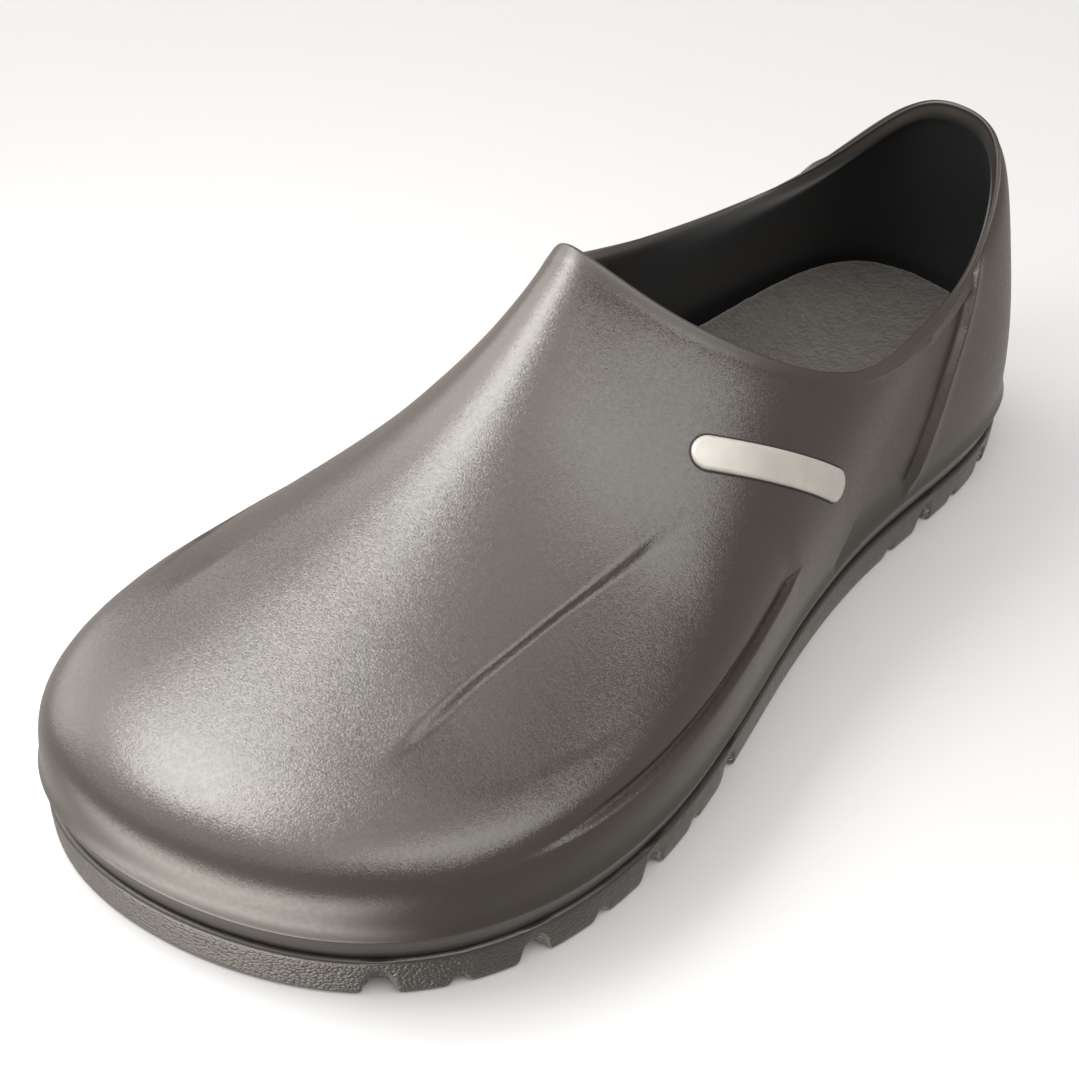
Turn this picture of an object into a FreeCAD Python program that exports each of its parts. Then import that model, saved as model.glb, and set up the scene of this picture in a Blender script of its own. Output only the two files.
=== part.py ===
import FreeCAD, Part
import math
import os

# Closed-heel moulded rubber clog for the left foot.
# Millimetres. +Z up, toe towards -Y, heel towards +Y, outer (lateral) side +X.
# Origin: centre of the bounding box in X and Y, on the ground plane.
# "s" is the distance measured forwards from the heel datum; y = MID_S - s.

# ---- driving dimensions -------------------------------------------------
MID_S = 141.75           # s of the origin
MID_X = 5.15             # lateral offset of the sole's middle from the last's axis
PART_Z = 10.0            # joint between outsole and upper shell
RAND_Z = 16.5            # height of the bumper ridge round the foot of the shell
FLOOR_Z = 17.0           # inner floor, under the footbed
WALL = 4.6               # wall thickness of the shell
LIP_RISE = 1.3           # how far the rolled collar lip stands above the rim line
BED_GAP = 4.6            # room between the footbed's lower edge and the wall's inside
BED_TAPER = 5.0          # how far its side leans in over 43 mm of height
COVER = 1.6              # thickness of the footbed's cloth cover
BED_SPLIT_S = 88.0       # where the footbed bends when its heel is lifted
SPLIT_GAP = 0.6          # gap between the two footbed halves
BADGE_LEN = 46.0
BADGE_WID = 7.6
BADGE_PROUD = 0.9        # badge face above the shell's surface
RECESS = 0.8             # depth of the badge's seat and of the moulded lines
LINE_WIDTH = 1.4         # width of the moulded lines
SIDE_LINE_Z = 31.6       # height of the long line down each side
SIDE_LINE_S = (141.0, 246.0)
COUNTER_LINE = ((64.0, 66.0), (99.0, 32.0))   # (s, z) ends of the heel counter's front line
BOSS_AT = (128.5, -42.3, 33.0)                # vent boss on the inner side: s, x, z
BOSS_RADIUS = 3.7
BOSS_HOLE = 1.6

# Sixteen columns run round the shell, starting at the back of the heel and
# passing the lateral side first. Each gives the sole outline (s, x), the collar
# line (s, x, z) and how far the column belongs to the toe box (0 heel, 1 toe).
COLUMNS = [
    ((-7, -2), (18, 3, 94), 0.0),
    ((4, 29), (17, 17, 90), 0.0),
    ((39, 40), (33, 26, 68), 0.0),
    ((89, 39), (68, 35, 60), 0.05),
    ((138, 50), (101, 39, 63), 0.25),
    ((188, 67), (125, 29, 75), 0.6),
    ((235, 68), (139, 13, 84), 0.9),
    ((271, 46), (146, -1, 92), 1.0),
    ((290, 0), (150, -11, 97), 1.0),
    ((285, -40), (148, -18, 95), 1.0),
    ((248, -57), (141, -25, 85), 0.9),
    ((201, -57), (126, -35, 75), 0.6),
    ((148, -44), (101, -40, 66), 0.25),
    ((94, -37), (69, -37, 61), 0.05),
    ((39, -40), (37, -25, 71), 0.0),
    ((3, -32), (21, -11, 92), 0.0),
]
# Side profile from rand to collar: share of the way inwards, share of the height.
TOE_PROFILE = [(0.0, 0.0), (-0.03, 0.24), (0.09, 0.28), (0.39, 0.36), (0.76, 0.57), (0.91, 0.84),
               (1.0, 1.0)]
HEEL_PROFILE = [(0.0, 0.0), (0.0, 0.15), (0.12, 0.36), (0.36, 0.59), (0.60, 0.81), (0.83, 1.0),
                (1.0, 1.0)]
OUTER_STEPS = [0.09, 0.20, 0.32, 0.44, 0.56, 0.68, 0.80, 0.90, 0.965]
INNER_STEPS = [0.93, 0.84, 0.72, 0.58, 0.44, 0.30, 0.17, 0.07]

# Footbed surface: s, height in the middle, at the lateral edge, at the medial edge.
BED_HEIGHTS = [
    (-25, 37, 38, 38),
    (8, 34, 38, 39),
    (40, 29, 38, 41),
    (75, 29, 34, 43),
    (110, 30, 31, 41),
    (145, 29, 29, 34),
    (185, 27, 27, 28),
    (230, 26, 26, 26),
    (275, 26, 27, 27),
    (310, 27, 28, 28),
]
BED_X = [-60, -42, -26, -9, 9, 26, 42, 60]

# Tread channels across the sole: s, width, height.
WIDE_CHANNELS = [28, 61, 168, 201, 234, 262]
NARROW_CHANNELS = [12, 45, 77, 184, 217, 249]
WIDE_SIZE = (7.5, 5.5)
NARROW_SIZE = (4.0, 2.2)


def vec(s, x, z):
    """Point of the row frame from last coordinates."""
    return FreeCAD.Vector(x - MID_X, MID_S - s, z)


def clamped_basis(count, t):
    """Cubic basis weights of a clamped, evenly spaced knot row at t in 0..1."""
    spans = count - 3
    knots = [0.0] * 3 + [i / spans for i in range(spans + 1)] + [1.0] * 3
    if t >= 1.0:
        return [0.0] * (count - 1) + [1.0]
    weights = [1.0 if knots[i] <= t < knots[i + 1] else 0.0 for i in range(len(knots) - 1)]
    for degree in range(1, 4):
        nxt = []
        for i in range(len(weights) - 1):
            left = knots[i + degree] - knots[i]
            right = knots[i + degree + 1] - knots[i + 1]
            a = (t - knots[i]) / left * weights[i] if left > 0 else 0.0
            b = (knots[i + degree + 1] - t) / right * weights[i + 1] if right > 0 else 0.0
            nxt.append(a + b)
        weights = nxt
    return weights


def side_point(column, v):
    """Control point of one column at height share v, as a vector."""
    (bs, bx), (rs, rx, rz), toe = COLUMNS[column]
    weights = clamped_basis(len(TOE_PROFILE), v)
    inward = 0.0
    upward = 0.0
    for w, t, h in zip(weights, TOE_PROFILE, HEEL_PROFILE):
        inward += w * (toe * t[0] + (1 - toe) * h[0])
        upward += w * (toe * t[1] + (1 - toe) * h[1])
    s = bs + (rs - bs) * inward
    x = bx + (rx - bx) * inward
    return vec(s, x, RAND_Z + (rz - RAND_Z) * upward)


def side_ring(v):
    """Ring of control points at height share v."""
    return [side_point(column, v) for column in range(len(COLUMNS))]


def plan_offset(ring, distance, z):
    """Move a ring outwards in plan by a distance and set its height."""
    out = []
    count = len(ring)
    for i in range(count):
        along = ring[(i + 1) % count] - ring[i - 1]
        normal = FreeCAD.Vector(-along.y, along.x, 0)
        normal.normalize()
        point = ring[i] + normal * distance
        out.append(FreeCAD.Vector(point.x, point.y, z))
    return out


def skin_offset(lower, ring, upper, distance):
    """Move a ring along the skin's outward normal."""
    out = []
    count = len(ring)
    for i in range(count):
        along = ring[(i + 1) % count] - ring[i - 1]
        rise = upper[i] - lower[i]
        normal = rise.cross(along)
        normal.normalize()
        out.append(ring[i] + normal * distance)
    return out


def offset_side(v, distance):
    """Ring at height share v, moved off the skin by a distance (inwards negative)."""
    return skin_offset(side_ring(max(v - 0.04, 0.0)), side_ring(v), side_ring(min(v + 0.04, 1.0)),
                       distance)


def periodic_knots(count):
    """Multiplicities and knots of an evenly spaced closed cubic."""
    return [1] * (count + 1), [float(i) for i in range(count + 1)]


def clamped_knots(count):
    """Multiplicities and knots of an evenly spaced clamped cubic."""
    spans = count - 3
    return [4] + [1] * (spans - 1) + [4], [i / spans for i in range(spans + 1)]


def closed_wire(ring):
    """Closed smooth wire over a ring of control points."""
    curve = Part.BSplineCurve()
    mults, knots = periodic_knots(len(ring))
    curve.buildFromPolesMultsKnots(ring, mults, knots, True, 3)
    return Part.Wire([curve.toShape()])


def ring_solid(rows):
    """Solid bounded by a closed band of rings and the flat faces at its two ends."""
    surface = Part.BSplineSurface()
    umults, uknots = periodic_knots(len(rows[0]))
    vmults, vknots = clamped_knots(len(rows))
    poles = [[row[i] for row in rows] for i in range(len(rows[0]))]
    surface.buildFromPolesMultsKnots(poles, umults, vmults, uknots, vknots, True, False, 3, 3)
    band = surface.toShape()
    caps = [Part.Face(closed_wire(rows[0])), Part.Face(closed_wire(rows[-1]))]
    shell = Part.Shell([band] + caps)
    shell.sewShape()
    solid = Part.Solid(shell)
    if solid.Volume < 0:
        solid.reverse()
    return solid


def shell_rows(proud=0.0, wall=WALL):
    """Rings of the upper shell: rand, outer skin, rolled lip, inner skin, floor edge."""
    foot = side_ring(0.0)
    rows = [
        plan_offset(foot, -1.0 + proud, PART_Z),
        plan_offset(foot, -0.4 + proud, PART_Z + 0.9),
        plan_offset(foot, 0.3 + proud, PART_Z + 3.2),
        plan_offset(foot, 0.9 + proud, RAND_Z - 0.4),
        plan_offset(foot, -0.2 + proud, RAND_Z + 2.4),
    ]
    for v in OUTER_STEPS:
        rows.append(offset_side(v, proud))
    rim = side_ring(1.0)
    lip_out = offset_side(1.0, 0.5 + proud)
    lip_in = offset_side(1.0, -wall - 0.3)
    rise = FreeCAD.Vector(0, 0, LIP_RISE)
    rows.append([p + rise * 0.3 for p in lip_out])
    rows.append([a + (b - a) * 0.25 + rise * 1.7 for a, b in zip(lip_out, lip_in)])
    rows.append([a + (b - a) * 0.75 + rise * 1.7 for a, b in zip(lip_out, lip_in)])
    rows.append([p + rise * 0.3 for p in lip_in])
    for v in INNER_STEPS:
        rows.append(offset_side(v, -wall))
    rows.append(plan_offset(foot, -wall - 0.8, FLOOR_Z + 2.5))
    rows.append(plan_offset(foot, -wall - 1.6, FLOOR_Z + 0.3))
    rows.append(plan_offset(foot, -wall - 2.6, FLOOR_Z))
    return rows


def badge_frame():
    """Centre, length direction and outward normal of the badge on the lateral side."""
    centre = vec(133.0, 39.8, 57.9)
    along = vec(114.0, 45.0, 49.0) - vec(150.0, 25.6, 67.0)
    along.normalize()
    normal = FreeCAD.Vector(0.77, -0.15, 0.62)
    normal = normal - along * normal.dot(along)
    normal.normalize()
    return centre, along, normal


def badge_prism(grow):
    """Pill-shaped prism through the shell wall at the badge."""
    centre, along, normal = badge_frame()
    radius = BADGE_WID / 2 + grow
    half = BADGE_LEN / 2 - BADGE_WID / 2
    across = normal.cross(along)
    a = centre + along * half
    b = centre - along * half
    tips = [a + along * radius, b - along * radius]
    corners = [a + across * radius, a - across * radius, b - across * radius, b + across * radius]
    edges = [
        Part.Arc(corners[0], tips[0], corners[1]).toShape(),
        Part.makeLine(corners[1], corners[2]),
        Part.Arc(corners[2], tips[1], corners[3]).toShape(),
        Part.makeLine(corners[3], corners[0]),
    ]
    face = Part.Face(Part.Wire(edges))
    face.translate(normal * -7)
    return face.extrude(normal * 16)


def line_slabs():
    """Thin slabs standing where the moulded lines of the shell run."""
    rear, front = SIDE_LINE_S
    side = Part.makeBox(200, front - rear, LINE_WIDTH,
                        FreeCAD.Vector(-100, MID_S - front, SIDE_LINE_Z - LINE_WIDTH / 2))
    (s0, z0), (s1, z1) = COUNTER_LINE
    length = math.hypot(s1 - s0, z1 - z0)
    counter = Part.makeBox(200, length, LINE_WIDTH,
                           FreeCAD.Vector(-100, 0, -LINE_WIDTH / 2))
    tilt = math.degrees(math.atan2(z0 - z1, s1 - s0))
    counter.rotate(FreeCAD.Vector(0, 0, 0), FreeCAD.Vector(1, 0, 0), tilt)
    counter.translate(FreeCAD.Vector(0, MID_S - s1, z1))
    return [side, counter]


def make_shell_and_badge():
    """Upper shell with its seat, lines and vent boss, and the plate in the seat."""
    bottom = ring_solid(shell_rows(-RECESS, WALL + 1.6))
    top = ring_solid(shell_rows(BADGE_PROUD, WALL - 1.6))
    badge = top.common(badge_prism(0.0)).cut(bottom)
    shell = ring_solid(shell_rows())
    for tool in [badge_prism(0.25)] + line_slabs():
        shell = shell.cut(tool.cut(bottom))
    centre = vec(*BOSS_AT)
    normal = FreeCAD.Vector(-0.985, 0.14, 0.1)
    normal.normalize()
    boss = Part.makeCylinder(BOSS_RADIUS, 3.2, centre - normal * 2.4, normal)
    hole = Part.makeCylinder(BOSS_HOLE, 3.4, centre - normal * 2.0, normal)
    return shell.fuse(boss).cut(hole), badge


def channel(s, size):
    """Arched channel straight across the sole."""
    width, height = size
    half = width / 2
    crown = height - half * 0.8
    y = MID_S - s
    points = [FreeCAD.Vector(-90, y - half, -2), FreeCAD.Vector(-90, y - half, crown),
              FreeCAD.Vector(-90, y, height), FreeCAD.Vector(-90, y + half, crown),
              FreeCAD.Vector(-90, y + half, -2)]
    wire = Part.Wire([
        Part.makeLine(points[0], points[1]),
        Part.Arc(points[1], points[2], points[3]).toShape(),
        Part.makeLine(points[3], points[4]),
        Part.makeLine(points[4], points[0]),
    ])
    return Part.Face(wire).extrude(FreeCAD.Vector(180, 0, 0))


def make_outsole():
    """Outsole slab with its channels."""
    foot = side_ring(0.0)
    low = closed_wire(plan_offset(foot, -1.6, 0.0))
    high = closed_wire(plan_offset(foot, -0.4, PART_Z))
    sole = Part.makeLoft([low, high], True, True)
    cuts = [channel(s, WIDE_SIZE) for s in WIDE_CHANNELS]
    cuts += [channel(s, NARROW_SIZE) for s in NARROW_CHANNELS]
    return sole.cut(cuts)


def bed_surface(drop):
    """Contoured top face of the footbed, lowered by a drop."""
    poles = []
    for s, middle, lateral, medial in BED_HEIGHTS:
        row = []
        for x in BED_X:
            share = min((abs(x) / 33.0) ** 2.4, 1.15)
            edge = lateral if x > 0 else medial
            row.append(vec(s, x, middle + (edge - middle) * share - drop))
        poles.append(row)
    surface = Part.BSplineSurface()
    umults, uknots = clamped_knots(len(BED_HEIGHTS))
    vmults, vknots = clamped_knots(len(BED_X))
    surface.buildFromPolesMultsKnots(poles, umults, vmults, uknots, vknots, False, False, 3, 3)
    return surface.toShape()


def make_footbed():
    """Core and cover of the footbed, each in a front and a heel half."""
    foot = side_ring(0.0)
    low = closed_wire(plan_offset(foot, -WALL - BED_GAP, FLOOR_Z + 0.3))
    high = closed_wire(plan_offset(foot, -WALL - BED_GAP - BED_TAPER, FLOOR_Z + 43))
    block = Part.makeLoft([low, high], True, True)
    down = FreeCAD.Vector(0, 0, -60)
    under_core = bed_surface(COVER).extrude(down)
    under_cover = bed_surface(0.0).extrude(down)
    core = block.common(under_core)
    cover = block.common(under_cover).cut(under_core)
    y = MID_S - BED_SPLIT_S
    front = Part.makeBox(200, 400, 100, FreeCAD.Vector(-100, y - 400 - SPLIT_GAP / 2, -10))
    heel = Part.makeBox(200, 400, 100, FreeCAD.Vector(-100, y + SPLIT_GAP / 2, -10))
    return {
        "footbed_core_front": core.common(front),
        "footbed_core_heel": core.common(heel),
        "footbed_cover_front": cover.common(front),
        "footbed_cover_heel": cover.common(heel),
    }


def as_solid(shape):
    """The one solid of a shape, without the compound around it."""
    solids = shape.Solids
    return solids[0] if len(solids) == 1 else Part.makeCompound(solids)


def main():
    os.makedirs("parts", exist_ok=True)
    parts = {}
    parts["upper_shell"], parts["badge_plate"] = make_shell_and_badge()
    parts["outsole"] = make_outsole()
    parts.update(make_footbed())
    for name, shape in parts.items():
        as_solid(shape).exportStep(os.path.join("parts", name + ".step"))
        box = shape.BoundBox
        print(name, "solids", len(shape.Solids), "valid", shape.isValid(),
              "volume %.1f" % (shape.Volume / 1000),
              "box %.1f..%.1f %.1f..%.1f %.1f..%.1f" % (box.XMin, box.XMax, box.YMin, box.YMax,
                                                         box.ZMin, box.ZMax))


main()
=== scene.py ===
"""Looks of the closed-heel rubber clog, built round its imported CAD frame.

Lengths are millimetres until a mesh is made. "s" runs forwards from the heel and x
outwards (to the lateral side), both on the last; place() turns them into the row frame.
"""

import math

import bmesh
import bpy
import numpy as np
from mathutils import Matrix, Vector
from mathutils.bvhtree import BVHTree


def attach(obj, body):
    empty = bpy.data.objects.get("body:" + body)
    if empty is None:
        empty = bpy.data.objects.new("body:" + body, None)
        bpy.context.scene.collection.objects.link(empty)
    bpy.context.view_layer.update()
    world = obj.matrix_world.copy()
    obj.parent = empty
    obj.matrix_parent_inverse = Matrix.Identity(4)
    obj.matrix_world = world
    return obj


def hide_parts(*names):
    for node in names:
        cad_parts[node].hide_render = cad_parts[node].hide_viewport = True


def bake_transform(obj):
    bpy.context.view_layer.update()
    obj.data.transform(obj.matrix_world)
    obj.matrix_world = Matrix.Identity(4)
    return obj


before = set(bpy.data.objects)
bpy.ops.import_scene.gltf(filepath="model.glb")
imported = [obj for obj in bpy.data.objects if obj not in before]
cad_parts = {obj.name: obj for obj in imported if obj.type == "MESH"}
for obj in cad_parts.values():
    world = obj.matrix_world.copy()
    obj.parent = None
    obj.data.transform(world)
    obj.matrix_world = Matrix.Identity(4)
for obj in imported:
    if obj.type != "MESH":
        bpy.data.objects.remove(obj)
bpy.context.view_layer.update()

# ---- the last, as in the CAD ---------------------------------------------
MID_S = 141.75          # station of the frame's origin
MID_X = 5.15            # and its offset from the last's centre line
RAND_Z = 16.5           # foot of the skin, where the side rings start
PART_UP = 10.8          # parting line between outsole and upper
CREST_Z = 17.8          # thin ridge round the foot of the upper
FLOOR_Z = 17.0          # inner floor
WALL = 4.6
LIP_RISE = 1.3
# Columns round the shoe: (s, x) on the ground outline, (s, x, z) on the collar, share of toe.
COLUMNS = [
    ((-7, -2), (18, 3, 94), 0.0),
    ((4, 29), (17, 17, 90), 0.0),
    ((39, 40), (33, 26, 68), 0.0),
    ((89, 39), (68, 35, 60), 0.05),
    ((138, 50), (101, 39, 63), 0.25),
    ((188, 67), (125, 29, 75), 0.6),
    ((235, 68), (139, 13, 84), 0.9),
    ((271, 46), (146, -1, 92), 1.0),
    ((290, 0), (150, -11, 97), 1.0),
    ((285, -40), (148, -18, 95), 1.0),
    ((248, -57), (141, -25, 85), 0.9),
    ((201, -57), (126, -35, 75), 0.6),
    ((148, -44), (101, -40, 66), 0.25),
    ((94, -37), (69, -37, 61), 0.05),
    ((39, -40), (37, -25, 71), 0.0),
    ((3, -32), (21, -11, 92), 0.0),
]
# Way up the side at the toe and at the heel: share inwards, share upwards.
TOE_PROFILE = np.array([(0.0, 0.0), (-0.03, 0.24), (0.09, 0.28), (0.39, 0.36), (0.76, 0.57),
                        (0.91, 0.84), (1.0, 1.0)])
HEEL_PROFILE = np.array([(0.0, 0.0), (0.0, 0.15), (0.12, 0.36), (0.36, 0.59), (0.60, 0.81),
                         (0.83, 1.0), (1.0, 1.0)])
# Height shares of the rings outside and inside the collar.
OUTER_STEPS = [0.09, 0.20, 0.32, 0.44, 0.56, 0.68, 0.80, 0.90, 0.965]
INNER_STEPS = [0.93, 0.84, 0.72, 0.58, 0.44, 0.30, 0.17, 0.07]
# Footbed top: station, then height in the middle, at the outer and at the inner edge.
BED_HEIGHTS = np.array([
    (-25, 37, 38, 38), (8, 34, 38, 39), (40, 29, 38, 41), (75, 29, 34, 43), (110, 30, 31, 41),
    (145, 29, 29, 34), (185, 27, 27, 28), (230, 26, 26, 26), (275, 26, 27, 27),
    (310, 27, 28, 28)], float)
BED_X = np.array([-60, -42, -26, -9, 9, 26, 42, 60], float)
# Stations of the channels across the tread.
WIDE_CHANNELS = [28, 61, 168, 201, 234, 262]
NARROW_CHANNELS = [12, 45, 77, 184, 217, 249]
HALF_TURN = len(COLUMNS) / 2
OUTLINE = np.array([c[0] for c in COLUMNS], float)
COLLAR = np.array([c[1] for c in COLUMNS], float)
TOE_SHARE = np.array([c[2] for c in COLUMNS], float)[:, None]


def place(s, x, z):
    """Row-frame points, in millimetres, of last coordinates."""
    return np.stack(np.broadcast_arrays(x - MID_X, MID_S - s, z), axis=-1)


def ramp(value, low, high):
    """Smooth step from 0 at low to 1 at high."""
    t = np.clip((value - low) / (high - low), 0.0, 1.0)
    return t * t * (3 - 2 * t)


def eased(count):
    """count + 1 shares from 0 to 1, closer together at both ends."""
    return (1 - np.cos(np.linspace(0, math.pi, count + 1))) / 2


# ---- splines ---------------------------------------------------------------
def closed_weights(count, t):
    """Weights (len(t), count) of an evenly spaced closed cubic."""
    t = np.asarray(t, float)
    cell = np.floor(t).astype(int)
    f = t - cell
    out = np.zeros((len(t), count))
    rows = np.arange(len(t))
    parts = ((1 - f) ** 3, 3 * f ** 3 - 6 * f ** 2 + 4,
             -3 * f ** 3 + 3 * f ** 2 + 3 * f + 1, f ** 3)
    for step, weight in zip((-1, 0, 1, 2), parts):
        out[rows, (cell + step) % count] += weight / 6
    return out


def clamped_weights(count, t):
    """Weights (len(t), count) of an evenly spaced clamped cubic on 0..1."""
    t = np.clip(np.asarray(t, float), 0.0, 1.0 - 1e-9)
    knots = np.concatenate([[0.0] * 3, np.linspace(0, 1, count - 2), [1.0] * 3])
    w = ((knots[None, :-1] <= t[:, None]) & (t[:, None] < knots[None, 1:])).astype(float)
    for degree in range(1, 4):
        nxt = np.zeros((len(t), w.shape[1] - 1))
        for i in range(nxt.shape[1]):
            left = knots[i + degree] - knots[i]
            right = knots[i + degree + 1] - knots[i + 1]
            if left > 0:
                nxt[:, i] += (t - knots[i]) / left * w[:, i]
            if right > 0:
                nxt[:, i] += (knots[i + degree + 1] - t) / right * w[:, i + 1]
        w = nxt
    return w


def side_ring(v):
    """Control points of the ring at height share v."""
    share = clamped_weights(len(TOE_PROFILE), [v])[0]
    toe = share @ TOE_PROFILE
    heel = share @ HEEL_PROFILE
    inward = TOE_SHARE[:, 0] * toe[0] + (1 - TOE_SHARE[:, 0]) * heel[0]
    upward = TOE_SHARE[:, 0] * toe[1] + (1 - TOE_SHARE[:, 0]) * heel[1]
    s = OUTLINE[:, 0] + (COLLAR[:, 0] - OUTLINE[:, 0]) * inward
    x = OUTLINE[:, 1] + (COLLAR[:, 1] - OUTLINE[:, 1]) * inward
    return place(s, x, RAND_Z + (COLLAR[:, 2] - RAND_Z) * upward)


def unit(a):
    """Vectors at length one."""
    return a / np.maximum(np.linalg.norm(a, axis=-1, keepdims=True), 1e-12)


def plan_offset(ring, distance, z):
    """Ring moved outwards in plan and set at one height."""
    along = np.roll(ring, -1, 0) - np.roll(ring, 1, 0)
    normal = unit(np.stack([-along[:, 1], along[:, 0], 0 * along[:, 0]], 1))
    out = ring + normal * distance
    out[:, 2] = z
    return out


def offset_side(v, distance):
    """Ring at height share v, moved along the skin's outward normal."""
    ring = side_ring(v)
    rise = side_ring(min(v + 0.04, 1.0)) - side_ring(max(v - 0.04, 0.0))
    along = np.roll(ring, -1, 0) - np.roll(ring, 1, 0)
    return ring + unit(np.cross(rise, along)) * distance


def shell_rows():
    """Rings of the upper shell: rand, outer skin, rolled lip, inner skin, floor edge."""
    foot = side_ring(0.0)
    rows = [plan_offset(foot, off, z) for off, z in (
        (-1.3, PART_UP), (-0.7, PART_UP + 0.8), (0.1, PART_UP + 3.0), (0.9, CREST_Z - 0.1),
        (-0.2, CREST_Z + 2.3))]
    rows += [offset_side(v, 0.0) for v in OUTER_STEPS]
    lip_out = offset_side(1.0, 0.5)
    lip_in = offset_side(1.0, -WALL - 0.3)
    rise = np.array([0.0, 0.0, LIP_RISE])
    rows += [lip_out + rise * 0.3, lip_out * 0.75 + lip_in * 0.25 + rise * 1.7,
             lip_out * 0.25 + lip_in * 0.75 + rise * 1.7, lip_in + rise * 0.3]
    rows += [offset_side(v, -WALL) for v in INNER_STEPS]
    rows += [plan_offset(foot, -WALL - off, z) for off, z in (
        (0.8, FLOOR_Z + 2.5), (1.6, FLOOR_Z + 0.3), (2.6, FLOOR_Z))]
    return np.array(rows)


ROWS = shell_rows()
LIP_ROW = 5 + len(OUTER_STEPS)          # first ring of the rolled lip


def ring_station(row):
    """Share of the way up the clamped knot row where a ring has its full pull."""
    count = len(ROWS)
    knots = np.concatenate([[0.0] * 3, np.linspace(0, 1, count - 2), [1.0] * 3])
    return knots[row:row + 3].mean()


def skin(tv, tu):
    """Points of the shell's band at parameters tv (0..1) and tu (0..16)."""
    shape = np.broadcast(tv, tu).shape
    tv = np.broadcast_to(tv, shape).ravel()
    tu = np.broadcast_to(tu, shape).ravel()
    wv = clamped_weights(len(ROWS), tv)
    wu = closed_weights(len(COLUMNS), tu)
    flat = np.einsum("nr,rcx->ncx", wv, ROWS)
    return np.einsum("ncx,nc->nx", flat, wu).reshape(shape + (3,))


# ---- the moulded lines of the shell ---------------------------------------
def side_line_z(s):
    """Height of the long moulded line down each side."""
    return np.interp(s, [100, 128, 136, 146, 158, 175, 200, 225, 245, 265],
                     [37.5, 36.5, 35.2, 33.6, 32.2, 31.3, 30.8, 30.6, 30.5, 30.8])


def counter_line_s(z):
    """Front line of the recessed band ahead of the heel counter."""
    return np.interp(z, [14, 25, 32.4, 42, 49, 61.5, 72], [118, 107, 99.0, 87.5, 80.5, 68.0, 58])


def bead_s(z):
    """Raised bead along the heel counter's front edge."""
    return np.interp(z, [14, 25, 46, 55.4, 63.5, 72.7, 84], [80, 70.5, 56.5, 49.5, 44.2, 38.5, 33])


def graded(anchors, low, high, step):
    """Sample positions between two ends. Near each anchor (place, reach, step) they are finer."""
    grid = np.linspace(low, high, 6001)
    density = np.full_like(grid, 1.0 / step)
    for anchor, reach, fine in anchors:
        density = np.maximum(density, (1.0 / fine) * np.exp(-((grid - anchor) / reach) ** 2))
    total = np.concatenate([[0], np.cumsum((density[1:] + density[:-1]) / 2 * np.diff(grid))])
    return np.interp(np.linspace(0, total[-1], int(total[-1])), total, grid)


def first_crossing(tu, values):
    """Parameter where values first turn positive."""
    sign = values > 0
    hit = np.argmax(sign[1:] & ~sign[:-1])
    a, b = values[hit], values[hit + 1]
    return tu[hit] + (tu[hit + 1] - tu[hit]) * (-a) / (b - a) if b != a else tu[hit]


TV_LIP = ring_station(LIP_ROW)
TV_LIP_END = ring_station(LIP_ROW + 3)


def line_station(tu):
    """Band parameter where each column crosses the side line."""
    tv = np.linspace(0.02, TV_LIP, 240)
    points = skin(tv[:, None], np.asarray(tu)[None, :])
    gap = points[..., 2] - side_line_z(MID_S - points[..., 1])
    return np.array([first_crossing(tv, gap[:, j]) for j in range(gap.shape[1])])


VAMP_ROWS = (0.25, 0.42)    # band parameters between which the vamp crease lies
FOOT_ROW = 3                # ring of the crest at the foot of the upper
ROW_STEP, COLUMN_STEP = 0.0068, 0.0395     # mesh steps away from the moulded lines
BEAD_FINE, COUNTER_FINE, CREASE_FINE = (0.12, 0.014), (0.08, 0.010), (0.13, 0.013)
INSIDE_ROWS = 27
SMOOTHING = 9               # rows over which a column's path is averaged


def crease_distance(s, x, side):
    """Distance outwards from the vamp crease of one side, across the shoe."""
    lateral = np.interp(s, [160, 170, 195, 220, 242], [36.0, 33.8, 31.6, 30.4, 31.6])
    medial = np.interp(s, [160, 175, 200, 225, 248], [30.0, 31.0, 33.0, 34.6, 36.5])
    return x * side - (lateral if side > 0 else medial)


def shell_rows_of_mesh(side_line, foot):
    """Band parameters of the mesh rows: fine at the crest, the side line, the vamp and the lip."""
    inside_start = TV_LIP_END + 0.012
    return np.concatenate([
        graded([(0.01, 0.02, 0.0028), (foot, 0.02, 0.0028), (0.082, 0.014, 0.0030),
                (0.285, 0.085, 0.0036), (side_line, 0.012, 0.0022),
                (TV_LIP + 0.05, 0.09, 0.0038)], 0.0, inside_start, ROW_STEP),
        np.linspace(inside_start, 1.0, INSIDE_ROWS)[1:]])


def line_crossings(rows):
    """Where every mesh row meets the bead, the counter line and the vamp crease, on each side.

    The result runs over row, side (lateral, medial) and line.
    """
    turn = np.linspace(0, HALF_TURN, 400)
    crossings = []
    for row in rows:
        found = []
        for medial in (False, True):
            tu = len(COLUMNS) - turn if medial else turn
            p = skin(np.full_like(tu, row), tu)
            s, z = MID_S - p[:, 1], p[:, 2]
            off_crease = crease_distance(s, p[:, 0] + MID_X, -1 if medial else 1)
            found.append((first_crossing(turn, s - bead_s(z)),
                          first_crossing(turn, s - counter_line_s(z)),
                          first_crossing(turn, np.where(s > 140, -off_crease, -1.0))))
        crossings.append(found)
    crossings = np.array(crossings)
    outer = rows <= TV_LIP
    crossings[~outer] = crossings[outer][-1]
    for side in range(2):
        for line in range(3):
            padded = np.pad(crossings[:, side, line], SMOOTHING // 2, "edge")
            crossings[:, side, line] = np.convolve(padded, np.ones(SMOOTHING) / SMOOTHING, "valid")
    return crossings


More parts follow.
